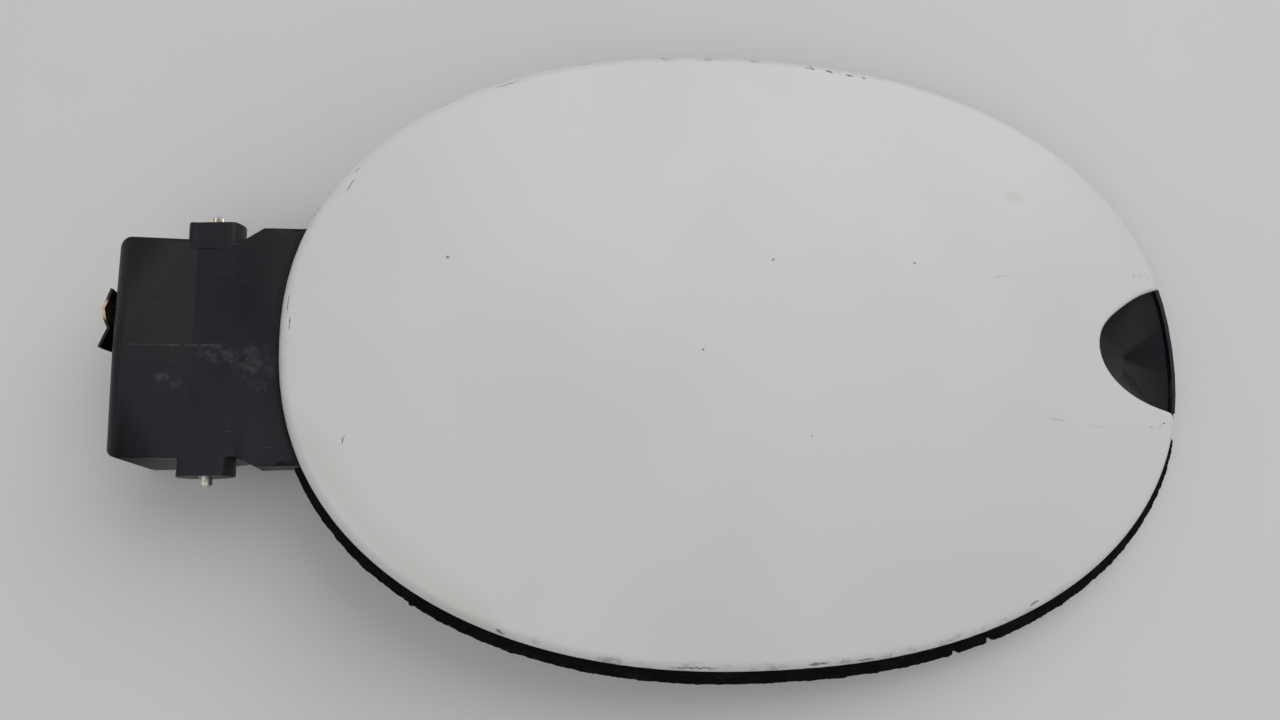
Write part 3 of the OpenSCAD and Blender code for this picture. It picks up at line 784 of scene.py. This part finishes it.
def moulded_carrier():
    piece = merged_copy("inner_carrier")
    flattened = 0
    for vert in piece.data.vertices:
        p = vert.co
        ceiling = arm_top(p.x) - BOSS_MIDDLE * ROOF + ABOVE_ARM
        on_boss = BOSS_IN < abs(p.y - ARM_Y) < BOSS_OUT and abs(p.x - ROD_X) < BOSS_HALF
        if on_boss and p.z > ceiling:
            p.z = ceiling + FLATTEN * (p.z - ceiling)
            flattened += 1
    cutter = step_cutter()
    cut = piece.modifiers.new("curved step", "BOOLEAN")
    cut.operation = "DIFFERENCE"
    cut.solver = "EXACT"
    cut.object = cutter
    apply_modifiers(piece)
    bpy.data.objects.remove(cutter)
    # The middle ridge and the valley stay crisp under smooth shading
    crisp = 0
    for edge in piece.data.edges:
        ends = [piece.data.vertices[i].co for i in edge.vertices]
        on_ridge = all(abs(p.y - ARM_Y) < 0.05 and p.z > -11 and p.x < -117 for p in ends)
        in_valley = all(abs(p.x - VALLEY_X) < 0.05 and -12 < p.z < -8 for p in ends)
        if on_ridge or in_valley:
            edge.use_edge_sharp = True
            crisp += 1
    print("boss points flattened", flattened, "crisp edges", crisp)
    settle(piece, "moulded_carrier", "door", ["inner_carrier"], PLASTIC, 30)
    # Large flat faces decide the normals, so that long triangles beside them don't show
    even = piece.modifiers.new("even normals", "WEIGHTED_NORMAL")
    even.weight = 100
    even.keep_sharp = True
    apply_modifiers(piece)


moulded_carrier()

# %% [markdown]
# ## Finishes for the solids that stay
# The bead, rivets and buffers keep the solids' own meshes. They are crisp moulded and headed
# shapes, so they need only their finishes.

# %% Dress the kept solids
FINISHES = {"adhesive_bead": ADHESIVE, "spring_rivets": RIVET_STEEL, "bump_stops": RUBBER}
for node_name, finish in FINISHES.items():
    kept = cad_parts[node_name]
    kept.data.materials.clear()
    kept.data.materials.append(finish)
    print(node_name, "dressed in", finish.name)

# %% [markdown]
# ## Table, light and camera
# The door lies on a pale plain table under soft light from the upper right, as from a big window. The
# camera stands where the photograph was taken: above the middle of the door, a little towards the viewer,
# with a phone's wide lens.

# %% Table
clear_selection()
bpy.ops.mesh.primitive_plane_add(size=6, location=(0, 0, 0))
table = bpy.context.object
table.name = "table_top"
table_finish, table_tree, table_shader, table_place = new_finish("pale_table_lacquer")
table_cloud = grain(table_tree, table_place, 60)
table_tone = blend(table_tree, table_cloud, hex_colour("#CFCECD"), hex_colour("#D3D2D0"))
table_tree.links.new(table_tone, table_shader.inputs["Base Color"])
table_shader.inputs["Roughness"].default_value = 0.7
table.data.materials.append(table_finish)

# %% Light and world
world = bpy.data.worlds.new("soft_room")
bpy.context.scene.world = world
world.use_nodes = True
world.node_tree.nodes["Background"].inputs["Color"].default_value = hex_colour("#ECECEC")
world.node_tree.nodes["Background"].inputs["Strength"].default_value = 0.55


def window(name, place, size, power, colour):
    """A round soft lamp at a place in metres, turned to the door."""
    clear_selection()
    bpy.ops.object.light_add(type="AREA", location=place)
    lamp = bpy.context.object
    lamp.name = name
    lamp.data.shape = "DISK"
    lamp.data.size = size
    lamp.data.energy = power
    lamp.data.color = hex_colour(colour)[:3]
    lamp.rotation_euler = (-Vector(place)).to_track_quat("-Z", "Y").to_euler()


window("window_light", (0.8, 1.1, 1.4), 2.0, 17, "#FFFFFD")
window("room_fill", (-0.6, -0.5, 1.6), 1.6, 5, "#F2F6FF")

# %% Camera
camera_data = bpy.data.cameras.new("viewpoint")
camera_data.sensor_width = 36.0
camera_data.lens = 28.125
camera_data.clip_start = 0.01
camera = bpy.data.objects.new("viewpoint", camera_data)
bpy.context.collection.objects.link(camera)
camera.location = (-0.03289, -0.05034, 0.26223)
camera.rotation_euler = tuple(math.radians(v) for v in (11.31, -4.546, -1.866))
bpy.context.scene.camera = camera
bpy.context.scene.view_settings.view_transform = "Standard"
